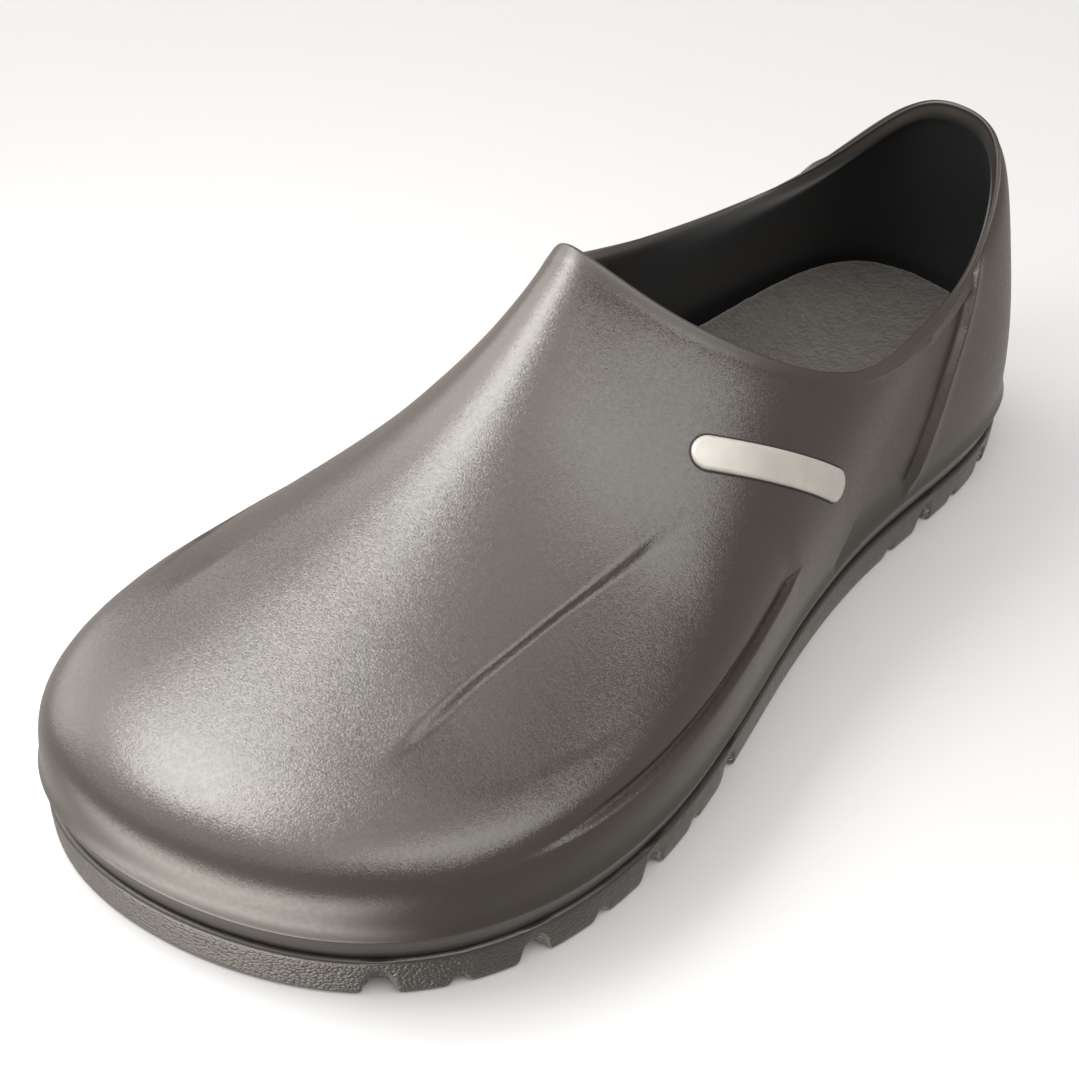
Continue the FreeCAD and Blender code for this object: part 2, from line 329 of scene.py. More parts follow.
def shell_grid():
    """Parameters of the visible shell's vertices, lined up with its moulded lines."""
    probe = np.linspace(0, len(COLUMNS), 321)
    line = line_station(probe)
    mean_line = float(line.mean())
    foot = ring_station(FOOT_ROW)
    rows = shell_rows_of_mesh(mean_line, foot)
    crossings = line_crossings(rows)
    mean = crossings[rows <= TV_LIP].mean(0)
    vamp = (rows > VAMP_ROWS[0]) & (rows < VAMP_ROWS[1])
    mean[:, 2] = crossings[vamp][:, :, 2].mean(0)

    full = len(COLUMNS)
    fine = []
    for line_at, (reach, step) in zip(mean.T, (BEAD_FINE, COUNTER_FINE, CREASE_FINE)):
        fine += [(line_at[0], reach, step), (full - line_at[1], reach, step)]
    columns = graded(fine, 0.0, full, COLUMN_STEP)[:-1]
    tu = np.empty((len(rows), len(columns)))
    base = [0, *mean[0], HALF_TURN, *(full - mean[1][::-1]), full]
    for i, (lateral, medial) in enumerate(crossings):
        own = [0, *lateral, HALF_TURN, *(full - medial[::-1]), full]
        tu[i] = np.interp(columns, base, own)

    own_line = np.interp(tu, probe, line)
    row = rows[:, None]
    tv = np.where(row < mean_line,
                  foot + (row - foot) * (own_line - foot) / (mean_line - foot),
                  own_line + (row - mean_line) * (TV_LIP - own_line) / (TV_LIP - mean_line))
    tv = np.where((row <= foot) | (row >= TV_LIP), row, tv)
    return tv, tu


def grid_normals(points):
    """Outward normals of a band grid that is closed along its second axis."""
    across = np.gradient(points, axis=0)
    along = np.roll(points, -1, 1) - np.roll(points, 1, 1)
    return unit(np.cross(across, along))


def below_edge(points):
    """Distance down the outside from the top of the collar edge, in every column."""
    run = np.linalg.norm(np.diff(points, axis=0), axis=2)
    run = np.concatenate([np.zeros((1, run.shape[1])), np.cumsum(run, axis=0)])
    top = np.argmax(points[..., 2], axis=0)
    return run[top, np.arange(run.shape[1])] - run


def side_line_relief(s, z):
    """Step down above the long side line, a swell below it and a slot along it."""
    strength = ramp(s, 134.5, 141) * (1 - ramp(s, 226, 260))
    recess = -1.25 + 1.1 * ramp(s, 205, 240)
    swell = 0.55 - 0.55 * ramp(s, 185, 230)
    slot_depth = 0.75 + 0.25 * (1 - ramp(s, 170, 225)) - 0.45 * ramp(s, 215, 240)
    softness = np.interp(s, [140, 190, 240], [0.35, 0.75, 1.3])
    rise = z - side_line_z(s)
    above = recess * np.exp(-np.clip(rise, 0, None) / 6.5)
    below = swell * np.exp(np.clip(rise, None, 0) / 6.0) * ramp(z, RAND_Z + 1, RAND_Z + 6)
    step = ramp(rise / softness, -1.1, 0.8)
    slot = -slot_depth * np.exp(-((rise / softness - 0.4) / 1.2) ** 2)
    return strength * (above * step + below * (1 - step) + slot)


def heel_band(s, z, tv):
    """Recessed band ahead of the counter: its own depth, its front edge, its bead and its mask."""
    ahead = (s - counter_line_s(z)) * 0.69       # square to the sloping lines
    past_bead = (s - bead_s(z)) * 0.80
    width = np.maximum(past_bead - ahead, 1.0)
    share = np.clip(-ahead / width, 0, 1)
    under_lip = 1 - ramp(tv, TV_LIP - 0.062, TV_LIP - 0.052)
    in_band = ramp(-ahead, -0.25, 0.45) * ramp(past_bead, 0.2, 1.5) * under_lip
    foot_fade = ramp(z, RAND_Z + 1.5, RAND_Z + 8)
    recess = -1.9 * (1 - 0.45 * share) * in_band * foot_fade
    front = 0.45 * np.exp(-np.clip(ahead, 0, None) / 4.0) * ramp(ahead, -0.2, 0.35) * foot_fade
    bead = np.where(past_bead > 0.1, np.exp(-((past_bead - 0.1) / 0.7) ** 2),
                    np.exp(-((past_bead - 0.1) / 1.9) ** 2)) * foot_fade
    heel_side = s < 125
    return [np.where(heel_side, part, 0) for part in (recess, front, bead)], in_band * heel_side


def vamp_crease_relief(s, x, z):
    """Step of the crease on each side of the vamp, widening towards the toe."""
    off_crease = 0.85 * np.where(x > 0, crease_distance(s, x, 1), crease_distance(s, x, -1))
    fade = ramp(s, 161, 176) * (1 - ramp(s, 226, 247))
    on_top = (z > 38) * 1.0
    depth = 1.25 + 0.45 * ramp(s, 205, 235)
    half_width = 0.6 + 0.8 * ramp(s, 200, 236)
    fall = ramp(off_crease / half_width, -1.0, 1.0)
    crease = depth * (0.4 * np.exp(np.clip(off_crease, None, 0) / 8.0) * (1 - fall)
                      - 0.6 * np.exp(-np.clip(off_crease, 0, None) / 14.0) * fall)
    return crease * fade * on_top


def foot_relief(z):
    """Hollow between the parting line and the crest, and the crest itself."""
    up = np.clip((z - PART_UP) / (CREST_Z - PART_UP - 0.6), 0, 1)
    hollow = np.where(z < CREST_Z + 0.5, -0.30 * np.sin(math.pi * up), 0)
    crest = 0.45 * np.exp(-np.clip(z - CREST_Z, 0, None) / 2.4) * ramp(z, CREST_Z - 0.6, CREST_Z)
    return hollow, crest


def rim_relief(s, tv):
    """Two fine lines along the rolled lip, clearer round the heel."""
    depth = 0.05 + 0.2 * (1 - ramp(s, 95, 130))
    rim = 0.0
    for share in (0.20, 0.80):
        off_line = tv - TV_LIP - share * (TV_LIP_END - TV_LIP)
        rim = rim + depth * np.exp(-(off_line / 0.0062) ** 2)
    return rim


def shell_relief(points, tv):
    """Height of the moulded details above the plain skin, and how grainy the skin is."""
    s = MID_S - points[..., 1]
    x = points[..., 0] + MID_X
    z = points[..., 2]
    heel_parts, in_band = heel_band(s, z, tv)
    relief = side_line_relief(s, z)
    for part in (*heel_parts, vamp_crease_relief(s, x, z), *foot_relief(z)):
        relief = relief + part
    outer = 1 - ramp(tv, TV_LIP - 0.012, TV_LIP + 0.004)
    grain = ramp(z, CREST_Z + 4, CREST_Z + 15) * ramp(below_edge(points), 1.6, 4.2)
    grain *= 1 - 0.75 * in_band
    return relief * outer + rim_relief(s, tv), np.clip(grain, 0, 1)


# ---- mesh helpers ------------------------------------------------------------
def mesh_object(name, verts, faces, attributes=None):
    """New smooth mesh object from millimetre points."""
    mesh = bpy.data.meshes.new(name)
    mesh.from_pydata((np.asarray(verts) / 1000.0).tolist(), [], faces)
    for key, values in (attributes or {}).items():
        layer = mesh.attributes.new(key, "FLOAT", "POINT")
        layer.data.foreach_set("value", np.asarray(values, np.float32))
    mesh.update()
    obj = bpy.data.objects.new(name, mesh)
    bpy.context.scene.collection.objects.link(obj)
    tidy_mesh(obj)
    mesh.polygons.foreach_set("use_smooth", [True] * len(mesh.polygons))
    return obj


def tidy_mesh(obj):
    """Merge coincident points, drop empty faces and turn all normals outwards."""
    bm = bmesh.new()
    bm.from_mesh(obj.data)
    bmesh.ops.remove_doubles(bm, verts=bm.verts, dist=2e-6)
    bmesh.ops.dissolve_degenerate(bm, edges=bm.edges, dist=1e-7)
    bmesh.ops.recalc_face_normals(bm, faces=bm.faces)
    bm.to_mesh(obj.data)
    bm.free()
    obj.data.update()


def band_faces(rows, columns, start=0, closed=True):
    """Quads of a grid of points, closed along the columns."""
    faces = []
    span = columns if closed else columns - 1
    for i in range(rows - 1):
        for j in range(span):
            a = start + i * columns + j
            b = start + i * columns + (j + 1) % columns
            faces.append((a, b, b + columns, a + columns))
    return faces


def build_shell():
    """Upper as one moulding: outside, rolled lip and inside, with its relief."""
    tv, tu = shell_grid()
    base = skin(tv, tu)
    normals = grid_normals(base)
    relief, grain = shell_relief(base, tv)
    points = base + normals * relief[..., None]
    rows, columns = tv.shape
    faces = band_faces(rows, columns)
    faces.append(tuple(range(columns)))
    faces.append(tuple(range((rows - 1) * columns, rows * columns))[::-1])
    # inside: the inner wall, duller in the material and painted darker there as painted shade
    inside = ramp(tv, TV_LIP_END + 0.005, TV_LIP_END + 0.04)
    lip = (1 - ramp(below_edge(base), 1.0, 3.0)) * (1 - inside)
    return mesh_object("upper_skin", points.reshape(-1, 3), faces, attributes={
        "grain": grain.ravel(), "inside": inside.ravel(), "lip": lip.ravel(),
        # low: mask of the painted shade that darkens the upper towards the bottom
        "low": (1 - ramp(points[..., 2], 22, 36)).ravel()})


# ---- plates built across the length of the shoe ------------------------------
def outline_at(offset, count):
    """Stations of the sole outline moved outwards by an offset: s, lateral x, medial x."""
    ring = plan_offset(side_ring(0.0), offset, 0.0)
    dense = closed_weights(len(COLUMNS), np.linspace(0, len(COLUMNS), 4001)[:-1]) @ ring
    s, x = MID_S - dense[:, 1], dense[:, 0] + MID_X
    low, high = int(np.argmin(s)), int(np.argmax(s))
    turn = np.arange(low, high + 1) if high > low else np.arange(low, high + 1 + len(s)) % len(s)
    back = np.arange(high, low + 1 + len(s)) % len(s) if high > low else np.arange(high, low + 1)
    stations = s[low] + (s[high] - s[low]) * eased(count)
    one = np.interp(stations, s[turn], x[turn])
    two = np.interp(stations, s[back][::-1], x[back][::-1])
    return stations, np.maximum(one, two), np.minimum(one, two)


EASE = 0.42             # how far a plate's columns crowd towards its edges


def plate(name, rings, place_point, across, across_top=None):
    """Closed plate. rings run from the top edge to the bottom edge, each (s, lateral x,
    medial x, height function); place_point turns (s, x, height) into millimetre points."""
    verts, faces = [], []
    count = len(rings[0][0])
    across_top = across_top or across

    def sheet(ring, columns):
        s, lateral, medial, height = ring
        share = EASE * eased(columns) + (1 - EASE) * np.linspace(0, 1, columns + 1)
        ss = np.repeat(s[:, None], columns + 1, 1)
        xx = medial[:, None] + (lateral - medial)[:, None] * share[None, :]
        return place_point(ss, xx, height(ss, xx))

    top, bottom = sheet(rings[0], across_top), sheet(rings[-1], across)
    width = across_top + 1
    verts.append(top.reshape(-1, 3))
    faces += band_faces(count, width, 0, closed=False)
    base = count * width
    edges = [(np.arange(count) * width + across_top, np.arange(count) * width)]
    width = across + 1
    for s, lateral, medial, height in rings[1:-1]:
        ids = []
        for x in (lateral, medial):
            verts.append(place_point(s, x, height(s, x)))
            ids.append(np.arange(base, base + count))
            base += count
        edges.append(tuple(ids))
    verts.append(bottom.reshape(-1, 3))
    faces += [f[::-1] for f in band_faces(count, width, base, closed=False)]
    edges.append((base + np.arange(count) * width + across, base + np.arange(count) * width))
    for upper, lower in zip(edges[:-1], edges[1:]):
        for k, flip in ((0, False), (1, True)):
            a, b = upper[k], lower[k]
            for i in range(count - 1):
                quad = (int(a[i]), int(b[i]), int(b[i + 1]), int(a[i + 1]))
                faces.append(quad[::-1] if flip else quad)
    return mesh_object(name, np.concatenate(verts), faces)


def notch_lines():
    """Each tread channel at each edge: station, edge x, slope of the outline, size."""
    s, lateral, medial = outline_at(-0.3, 900)
    out = []
    for group, size in ((WIDE_CHANNELS, WIDE_SIZE), (NARROW_CHANNELS, NARROW_SIZE)):
        for centre in group:
            for edge in (lateral, medial):
                slope = (np.interp(centre + 2, s, edge) - np.interp(centre - 2, s, edge)) / 4
                out.append((centre, np.interp(centre, s, edge), np.clip(slope, -4.0, 4.0)) + size)
    return out


# Half width, height of the arch at the edge, height further in, depth of the arched niche.
WIDE_SIZE = (3.5, 7.6, 2.3, 2.6)
NARROW_SIZE = (1.9, 2.9, 2.0, 1.0)
CORNER = 1.2            # rounding of a notch's lower corners
CUT_DEPTH = 11.0        # a notch runs square to the edge this far in, then straight across
SOLE_STATIONS = 780
NOTCHES = notch_lines()


def channel_height(s, x):
    """Height of the tread channels above the ground."""
    out = np.zeros(np.broadcast(s, x).shape)
    for centre, edge, slope, half, tall, low, depth in NOTCHES:
        side = 1.0 if edge > 0 else -1.0
        length = math.hypot(1, slope)
        along = ((s - centre) + slope * (x - edge)) / length
        inwards = side * (slope * (s - centre) - (x - edge)) / length
        turned = centre + side * slope / length * CUT_DEPTH
        straight = s - turned if abs(slope) < 0.8 else 99.0
        across = np.abs(np.where(inwards < CUT_DEPTH, along, straight))
        arch = np.sqrt(np.clip(1 - (across / half) ** 2, 0, 1))
        niche = 1 - ramp(inwards - depth * arch, -0.35, 0.45)
        here = low * (1 - ramp(across / half, 0.55, 0.85))
        here = np.maximum(here, tall * arch * niche)
        corner = np.clip(1 - (across - half) / CORNER, 0, 1)
        here = np.maximum(here, CORNER * (1 - np.sqrt(1 - corner ** 2)) * (1 - ramp(inwards, 1, 5)))
        out = np.maximum(out, np.where(x * side > -1.5, here, 0))
    return out


def tread_height(s, x):
    """Underside of the outsole: channels, a wavy centre groove and fine sipes."""
    out = channel_height(s, x)
    middle = np.interp(s, [0, 60, 120, 200, 280], [0, 1, 2, 6, 2])
    centre = middle + 4.0 * np.sin(s / 16.5 * math.pi)
    waist = ramp(s, 84, 92) * (1 - ramp(s, 152, 160))
    on_tread = ramp(s, 6, 16) * (1 - ramp(s, 262, 276)) * (1 - waist)
    groove = 2.4 * (1 - ramp(np.abs(x - centre), 1.3, 2.1)) * on_tread
    pitch = (x * 0.9 + 100) % 9.0
    sipe = 0.9 * (1 - ramp(np.abs(pitch - 4.5), 0.5, 0.9)) * on_tread
    shank = 1.0 * ramp(s, 88, 94) * (1 - ramp(s, 150, 156))
    return np.maximum.reduce([out, groove, sipe, shank])


# Rings of the outsole's edge: how far outside the outline, and share of the height.
SOLE_EDGE = ((-1.2, 1.0), (-0.5, 0.99), (-0.1, 0.965), (0.05, 0.93), (0.1, 0.86), (0.1, 0.76),
             (0.1, 0.64), (0.05, 0.5), (0.0, 0.36), (-0.05, 0.24), (-0.15, 0.14), (-0.3, 0.075),
             (-0.6, 0.03), (-1.0, 0.006))


def build_outsole():
    """Outsole with notches along its edge and its tread, grainy on the sides."""
    rings = []
    for offset, level in SOLE_EDGE:
        s, lateral, medial = outline_at(offset, SOLE_STATIONS)

        def height(ss, xx, level=level):
            low = channel_height(ss, xx)
            return low + (PART_UP - low) * level
        rings.append((s, lateral, medial, height))
    s, lateral, medial = outline_at(-1.5, SOLE_STATIONS)
    rings.append((s, lateral, medial, tread_height))
    body = plate("outsole_body", rings, place, 84, 8)
    height = np.array([v.co.z for v in body.data.vertices]) * 1000
    facing = np.array([v.normal.z for v in body.data.vertices])
    layer = body.data.attributes.new("grain", "FLOAT", "POINT")
    grain = (1 - ramp(height, 9.4, 10.3)) * ramp(facing, -0.6, -0.25)
    layer.data.foreach_set("value", grain.astype(np.float32))
    return body


def bed_height(s, x):
    """Contoured top of the footbed."""
    share = np.minimum((np.abs(BED_X) / 33.0) ** 2.4, 1.15)
    edge = np.where(BED_X[None, :] > 0, BED_HEIGHTS[:, 2:3], BED_HEIGHTS[:, 3:4])
    net_z = BED_HEIGHTS[:, 1:2] + (edge - BED_HEIGHTS[:, 1:2]) * share
    tau = np.linspace(0, 1, 401)
    along = clamped_weights(len(BED_HEIGHTS), tau)
    wide = clamped_weights(len(BED_X), tau)
    t_s = np.interp(s, along @ BED_HEIGHTS[:, 0], tau)
    t_x = np.interp(x, wide @ BED_X, tau)
    ws = clamped_weights(len(BED_HEIGHTS), t_s.ravel())
    wx = clamped_weights(len(BED_X), t_x.ravel())
    return np.einsum("nr,rc,nc->n", ws, net_z, wx).reshape(s.shape)


def wander(s, x, scale, seed):
    """Smooth repeatable noise from a few sine waves."""
    rng = np.random.default_rng(seed)
    out = np.zeros_like(s)
    for _ in range(9):
        angle, phase = rng.uniform(0, 2 * math.pi, 2)
        k = rng.uniform(0.6, 1.6) * 2 * math.pi / scale
        out += np.sin(k * (s * math.cos(angle) + x * math.sin(angle)) + phase)
    return out / 9


def build_footbed():
    """Cloth cover and foam core of the loose footbed, each in one piece."""
    cover_rings, core_rings = [], []
    for offset, drop in ((-10.4, 0.0), (-9.7, 0.25), (-9.35, 0.7), (-9.25, 1.2), (-9.5, 1.6)):
        s, lateral, medial = outline_at(offset, 360)
        cover_rings.append((s, lateral, medial, lambda ss, xx, drop=drop: bed_height(ss, xx) - drop
                            + 0.22 * wander(ss, xx, 9, 3) + 0.16 * wander(ss, xx, 3.2, 5)))
    cover = plate("footbed_cover", cover_rings, place, 70)
    low = FLOOR_Z + 0.32
    for offset, level in ((-9.9, 1.0), (-9.45, 0.9), (-9.4, 0.6), (-9.4, 0.3), (-9.5, 0.08),
                          (-10.0, 0.0)):
        s, lateral, medial = outline_at(offset, 260)

        def height(ss, xx, level=level):
            return low + (bed_height(ss, xx) - 1.75 - low) * level
        core_rings.append((s, lateral, medial, height))
    core = plate("footbed_core", core_rings, place, 36)
    return cover, core


# ---- badge, vent boss ----------------------------------------------------------
BADGE_HALF, BADGE_RADIUS = 19.2, 3.8       # straight half length, and radius of the round ends
BADGE_CENTRE = place(133.0, 39.8, 57.9)
BADGE_REAR, BADGE_FRONT = place(114.0, 45.0, 49.0), place(150.0, 25.6, 67.0)
BADGE_FACING = np.array([0.77, -0.15, 0.62])


def badge_axes():
    """Centre, lengthwise axis, outward normal and crosswise axis of the badge."""
    centre = BADGE_CENTRE
    along = unit(BADGE_REAR - BADGE_FRONT)
    normal = BADGE_FACING
    normal = unit(normal - along * (normal @ along))
    return centre, along, normal, np.cross(normal, along)


def on_skin(tree, a, b, lift):
    """Points above the shell's skin at badge coordinates a, b."""
    centre, along, normal, across = badge_axes()
    a, b, lift = np.broadcast_arrays(a, b, lift)
    out = np.zeros(a.shape + (3,))
    for index in np.ndindex(a.shape):
        start = centre + along * a[index] + across * b[index] + normal * 20
        hit, face_normal, _, _ = tree.ray_cast(Vector(start / 1000), Vector(-normal), 0.04)
        if hit is None:
            hit, face_normal = Vector((start - normal * 20) / 1000), Vector(normal)
        out[index] = np.array(hit) * 1000 + np.array(face_normal) * lift[index]
    return out


def pill_at(offset, count):
    """Stations along the badge's outline moved outwards: position, and width each way."""
    r = BADGE_RADIUS + offset
    a = (BADGE_HALF + r) * (2 * eased(count) - 1)
    over = np.clip(np.abs(a) - BADGE_HALF, 0, None)
    b = np.sqrt(np.clip(r * r - over * over, 0, None))
    return a, b, -b


def build_badge(shell):
    """Blank plate on the outer side, and a dark ring round it that is painted shadow of the gap."""
    bm = bmesh.new()
    bm.from_mesh(shell.data)
    tree = BVHTree.FromBMesh(bm)
    bm.free()

    def put(a, b, lift):
        return on_skin(tree, a, b, lift)

    def pill(name, steps):
        """Pill from its rings: how far outside the outline, and height above the skin."""
        rings = []
        for offset, level in steps:
            a, one, two = pill_at(offset, 90)
            rings.append((a, one, two, lambda aa, bb, level=level: np.full(np.shape(aa), level)))
        return plate(name, rings, put, 16)

    body = pill("badge_face", ((-0.75, 0.98), (-0.35, 0.92), (-0.12, 0.74), (0, 0.5), (0, -0.2),
                               (-0.3, -0.45)))
    # painted shadow: a thin dull dark ring lifted just off the skin round the plate, standing for
    # the shadow of the gap
    shadow_ring = pill("badge_shadow_ring", ((0.05, -0.1), (0.1, 0.0), (0.3, 0.06), (0.5, 0.04), (0.62, -0.1),
                               (0.66, -0.4)))
    return body, shadow_ring


def lathe(name, centre, normal, profile, count=64):
    """Ring of revolution about a normal from (radius, height) pairs."""
    normal = unit(np.asarray(normal, float))
    side = unit(np.cross(normal, [0, 0, 1.0]))
    other = np.cross(normal, side)
    angle = np.linspace(0, 2 * math.pi, count, endpoint=False)
    spokes = np.cos(angle)[:, None] * side + np.sin(angle)[:, None] * other
    verts = np.concatenate([centre + spokes * r + normal * h for r, h in profile])
    faces = band_faces(len(profile), count)
    faces.append(tuple(range(count))[::-1])
    faces.append(tuple(range((len(profile) - 1) * count, len(profile) * count)))
    return mesh_object(name, verts, faces)


# ---- materials ---------------------------------------------------------------
class Nodes:
    """Short-hand for building one node material."""

    def __init__(self, name, **sockets):
        self.material = bpy.data.materials.new(name)
        self.material.use_nodes = True
        self.tree = self.material.node_tree
        self.shader = self.tree.nodes["Principled BSDF"]
        for key, value in sockets.items():
            self.shader.inputs[key.replace("_", " ")].default_value = value
        self.coords = self.add("ShaderNodeTexCoord").outputs["Object"]

    def add(self, kind, **values):
        node = self.tree.nodes.new(kind)
        for key, value in values.items():
            setattr(node, key, value)
        return node

    def link(self, source, target):
        self.tree.links.new(source, target)

    def noise(self, scale, detail=3.0, rough=0.5):
        node = self.add("ShaderNodeTexNoise")
        node.inputs["Scale"].default_value = scale
        node.inputs["Detail"].default_value = detail
        node.inputs["Roughness"].default_value = rough
        self.link(self.coords, node.inputs["Vector"])
        return node.outputs["Fac"]

    def voronoi(self, scale):
        node = self.add("ShaderNodeTexVoronoi", feature="F1")
        node.inputs["Scale"].default_value = scale
        self.link(self.coords, node.inputs["Vector"])
        return node.outputs

    def cells(self, scale):
        """Distance from the nearest of many scattered points."""
        return self.voronoi(scale)["Distance"]

    def domes(self, scale):
        """Small rounded bumps, side by side."""
        cell = self.cells(scale)
        return self.math("SUBTRACT", 1.0, self.math("MULTIPLY", cell, cell))

    def vector(self, operation, *values):
        """Vector math on links, vectors or a scale."""
        node = self.add("ShaderNodeVectorMath", operation=operation)
        sockets = [socket for socket in node.inputs if socket.enabled]
        for socket, value in zip(sockets, values):
            if isinstance(value, tuple):
                socket.default_value = value
            else:
                self.link(value, socket)
        return node.outputs["Value" if operation == "LENGTH" else "Vector"]

    def facets(self, scale, lean, below):
        """Lean the normal a little, another way in every small cell, so that the skin glitters."""
        centred = self.vector("SUBTRACT", self.voronoi(scale)["Color"], (0.5, 0.5, 0.5))
        tilt = self.vector("SCALE", centred, lean)
        return self.vector("NORMALIZE", self.vector("ADD", below, tilt))

    def value_of(self, attribute):
        return self.add("ShaderNodeAttribute", attribute_name=attribute).outputs["Fac"]

    def math(self, operation, a, b=0.0, clamp=False):
        node = self.add("ShaderNodeMath", operation=operation, use_clamp=clamp)
        for socket, value in zip(node.inputs, (a, b)):
            if isinstance(value, (int, float)):
                socket.default_value = value
            else:
                self.link(value, socket)
        return node.outputs[0]

    def range(self, value, low, high, to_low=0.0, to_high=1.0):
        node = self.add("ShaderNodeMapRange")
        self.link(value, node.inputs["Value"])
        for key, number in (("From Min", low), ("From Max", high), ("To Min", to_low),
                            ("To Max", to_high)):
            node.inputs[key].default_value = number
        return node.outputs["Result"]

    def mix(self, share, a, b):
        node = self.add("ShaderNodeMix", data_type="RGBA")
        for socket, value in ((node.inputs["Factor"], share), (node.inputs["A"], a),
                              (node.inputs["B"], b)):
            if isinstance(value, (tuple, list)):
                socket.default_value = tuple(value) + (1.0,)
            elif isinstance(value, (int, float)):
                socket.default_value = value
            else:
                self.link(value, socket)
        return node.outputs["Result"]

    def bump(self, height, strength, distance, below=None):
        node = self.add("ShaderNodeBump")
        node.inputs["Distance"].default_value = distance
        if isinstance(strength, (int, float)):
            node.inputs["Strength"].default_value = strength
        else:
            self.link(strength, node.inputs["Strength"])
        self.link(height, node.inputs["Height"])
        if below is not None:
            self.link(below, node.inputs["Normal"])
        return node.outputs["Normal"]

    def finish(self, color=None, roughness=None, normal=None):
        for key, value in (("Base Color", color), ("Roughness", roughness), ("Normal", normal)):
            if value is not None:
                self.link(value, self.shader.inputs[key])
        return self.material


def upper_material():
    """Moulded rubber: smooth at the foot and the lip, finely grained elsewhere, dull inside; its
    colour holds painted shade, darker low down and near-black inside.
    """
    m = Nodes("moulded_rubber", Specular_IOR_Level=0.8)
    grain = m.value_of("grain")
    inside = m.value_of("inside")
    lip = m.value_of("lip")
    cloud = m.noise(22, 4)
    tone = m.mix(m.range(cloud, 0.35, 0.65), (0.022, 0.0165, 0.0130), (0.029, 0.0225, 0.0185))
    # painted shade: the colour turns darker and warmer towards the bottom of the upper
    tone = m.mix(m.value_of("low"), tone, (0.014, 0.0095, 0.0070))
    # painted shade: the inner wall of the one-piece shell is painted near-black
    tone = m.mix(inside, tone, (0.008, 0.0088, 0.0098))
    rough = m.range(m.noise(900, 2), 0.3, 0.7, 0.28, 0.35)
    rough = m.mix(lip, rough, (0.44, 0.44, 0.44))
    rough = m.mix(inside, rough, (0.5, 0.5, 0.5))
    first = m.bump(m.domes(2300), grain, 0.000022)
    soft = m.bump(m.noise(600, 3), 0.03, 0.0002, first)
    normal = m.facets(2600, m.math("MULTIPLY", grain, 0.075), soft)
    return m.finish(tone, rough, normal)


def outsole_material():
    """Coarser grained rubber of the outsole."""
    m = Nodes("grained_rubber", Specular_IOR_Level=0.8)
    cloud = m.noise(30, 4)
    tone = m.mix(m.range(cloud, 0.35, 0.65), (0.012, 0.0085, 0.0066), (0.018, 0.0135, 0.0108))
    rough = m.range(m.noise(420, 3), 0.3, 0.7, 0.32, 0.42)
    first = m.bump(m.domes(1350), m.value_of("grain"), 0.00022)
    normal = m.bump(m.noise(500, 3), 0.15, 0.0002, first)
    return m.finish(tone, rough, normal)


def cover_material():
    """Felted cloth of the footbed."""
    m = Nodes("felted_cover", Specular_IOR_Level=0.2, Sheen_Weight=0.35, Sheen_Roughness=0.6)
    m.shader.inputs["Sheen Tint"].default_value = (0.75, 0.70, 0.66, 1.0)
    fibres = m.noise(900, 6, 0.75)
    cloud = m.noise(45, 4)
    tone = m.mix(m.range(fibres, 0.35, 0.65), (0.020, 0.018, 0.0165), (0.070, 0.064, 0.060))
    tone = m.mix(m.range(cloud, 0.3, 0.7, 0.0, 0.35), tone, (0.044, 0.040, 0.037))
    first = m.bump(m.noise(1300, 5, 0.7), 0.8, 0.0006)
    normal = m.bump(m.cells(700), 0.4, 0.0005, first)
    return m.finish(tone, m.range(fibres, 0.3, 0.7, 0.85, 0.98), normal)


def foam_material():
    """Cork and foam under the cloth."""
    m = Nodes("cork_foam", Specular_IOR_Level=0.25)
    cells = m.cells(420)
    tone = m.mix(m.range(cells, 0.1, 0.7), (0.030, 0.024, 0.020), (0.085, 0.068, 0.055))
    rough = m.range(m.noise(300, 3), 0.3, 0.7, 0.75, 0.95)
    return m.finish(tone, rough, m.bump(cells, 0.5, 0.0006))


def plate_material():
    """Satin blank plate."""
    m = Nodes("satin_plate", Metallic=0.15, Specular_IOR_Level=0.5)
    tone = m.mix(m.range(m.noise(160, 3), 0.3, 0.7), (0.385, 0.38, 0.35), (0.44, 0.435, 0.405))
    rough = m.range(m.noise(900, 3), 0.3, 0.7, 0.30, 0.42)
    return m.finish(tone, rough, m.bump(m.noise(1800, 2), 0.06, 0.0002))


def painted_shadow_material():
    """Painted shadow: dull dark rubber for the ring that stands for the shadow in the gap round the
    plate.
    """
    m = Nodes("painted_shadow_gap", Specular_IOR_Level=0.35)
    tone = m.mix(m.noise(300, 2), (0.020, 0.019, 0.018), (0.030, 0.028, 0.027))
    return m.finish(tone, m.range(m.noise(500, 2), 0.3, 0.7, 0.5, 0.65),
                    m.bump(m.noise(1500, 2), 0.2, 0.0003))


def floor_material():
    """Pale floor, lighter far away so that it meets the white wall."""
    m = Nodes("pale_floor", Specular_IOR_Level=0.15)
    tone = m.mix(m.noise(3, 3), (0.585, 0.595, 0.61), (0.605, 0.615, 0.63))
    far = m.range(m.vector("LENGTH", m.coords), 0.55, 2.2)
    tone = m.mix(far, tone, (0.93, 0.935, 0.94))
    return m.finish(tone, m.range(m.noise(40, 3), 0.3, 0.7, 0.7, 0.8))


def give(obj, material, slot, body=None, *nodes):
    """Material, finish slot (not used), body to ride on and CAD nodes to stand for."""
    obj.data.materials.clear()
    obj.data.materials.append(material)
    if nodes:
        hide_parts(*nodes)
    if body:
        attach(obj, body)


# ---- build ------------------------------------------------------------------------
rubber = upper_material()
shell = build_shell()
badge, shadow_ring = build_badge(shell)
give(shell, rubber, "upper", "shoe", "upper_shell")
give(badge, plate_material(), "plate", "shoe", "badge_plate")
# the ring round the plate carries painted shadow
give(shadow_ring, painted_shadow_material(), "upper", "shoe")

